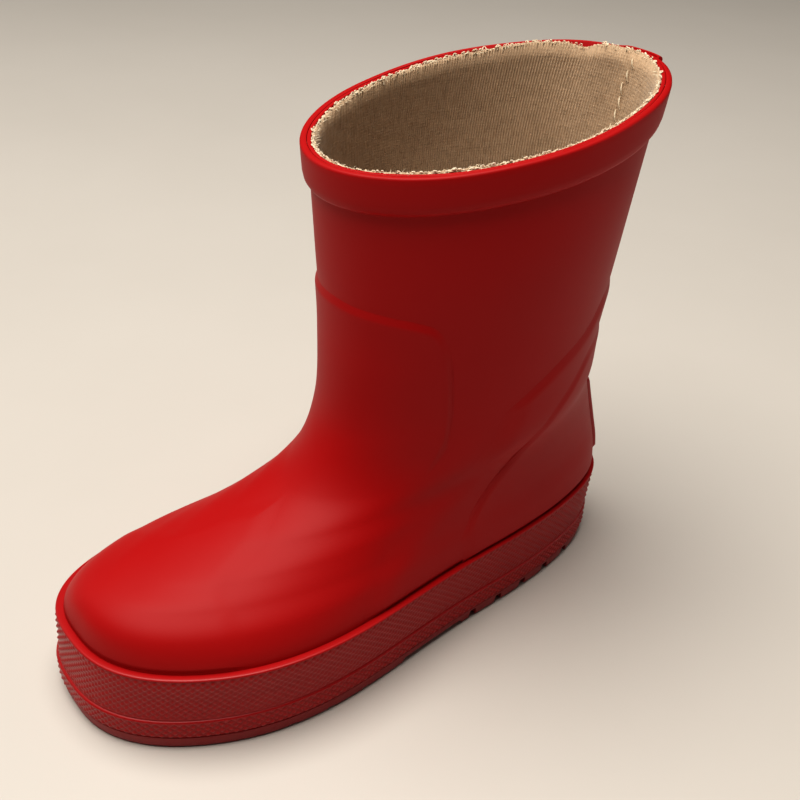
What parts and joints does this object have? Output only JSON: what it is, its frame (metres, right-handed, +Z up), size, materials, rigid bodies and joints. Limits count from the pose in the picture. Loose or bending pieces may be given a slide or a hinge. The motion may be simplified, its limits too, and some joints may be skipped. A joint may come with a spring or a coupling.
{
  "type": "rubber rain boot",
  "caption": "Child's pull-on rubber rain boot: red rubber leg and foot, textured side bands, lugged outsole, overlapped collar band, knitted lining and a loose footbed.",
  "frame": {"origin": "on the ground, under the middle of the boot's box", "axes": "+Z up, the toe points to -Y, the outer side of the foot is +X"},
  "size_m": [0.0782, 0.1876, 0.1574],
  "materials": {
    "outsole_rubber": "matt moulded natural rubber",
    "foxing_rubber": "matt rubber with a fine diamond texture",
    "boot_rubber": "satin lacquered natural rubber",
    "label_rubber": "satin, blank",
    "lining_knit": "ribbed cotton knit with a raw edge",
    "seam_thread": "undyed cotton thread",
    "insole_board": "pressed fibre board",
    "insole_cloth": "plain woven cotton",
    "sponge": "open sponge rubber",
    "foam": "soft latex foam",
    "cover_cloth": "brushed cotton"
  },
  "bodies": {
    "boot": {"outsole": "outsole_rubber", "foxing_lower_band": "foxing_rubber", "foxing_upper_band": "foxing_rubber", "forefoot_filler": "sponge", "heel_wedge": "sponge", "insole_board": "insole_board", "insole_cloth": "insole_cloth", "upper_rubber": "boot_rubber", "toe_reinforcement": "boot_rubber", "instep_reinforcement": "boot_rubber", "heel_counter_outer": "boot_rubber", "heel_counter_inner": "boot_rubber", "back_stay": "boot_rubber", "collar_band": "boot_rubber", "heel_label": "label_rubber", "lining_sock": "lining_knit", "lining_seam_thread": "seam_thread"},
    "footbed": {"footbed_foam": "foam", "footbed_cover": "cover_cloth"}
  },
  "joints": [
    {"name": "footbed_lift", "type": "hinge", "parent": "boot", "child": "footbed", "pos_m": [0, -0.0848, 0.0149], "axis": [1, 0, 0], "range_deg": [0, 8]}
  ]
}
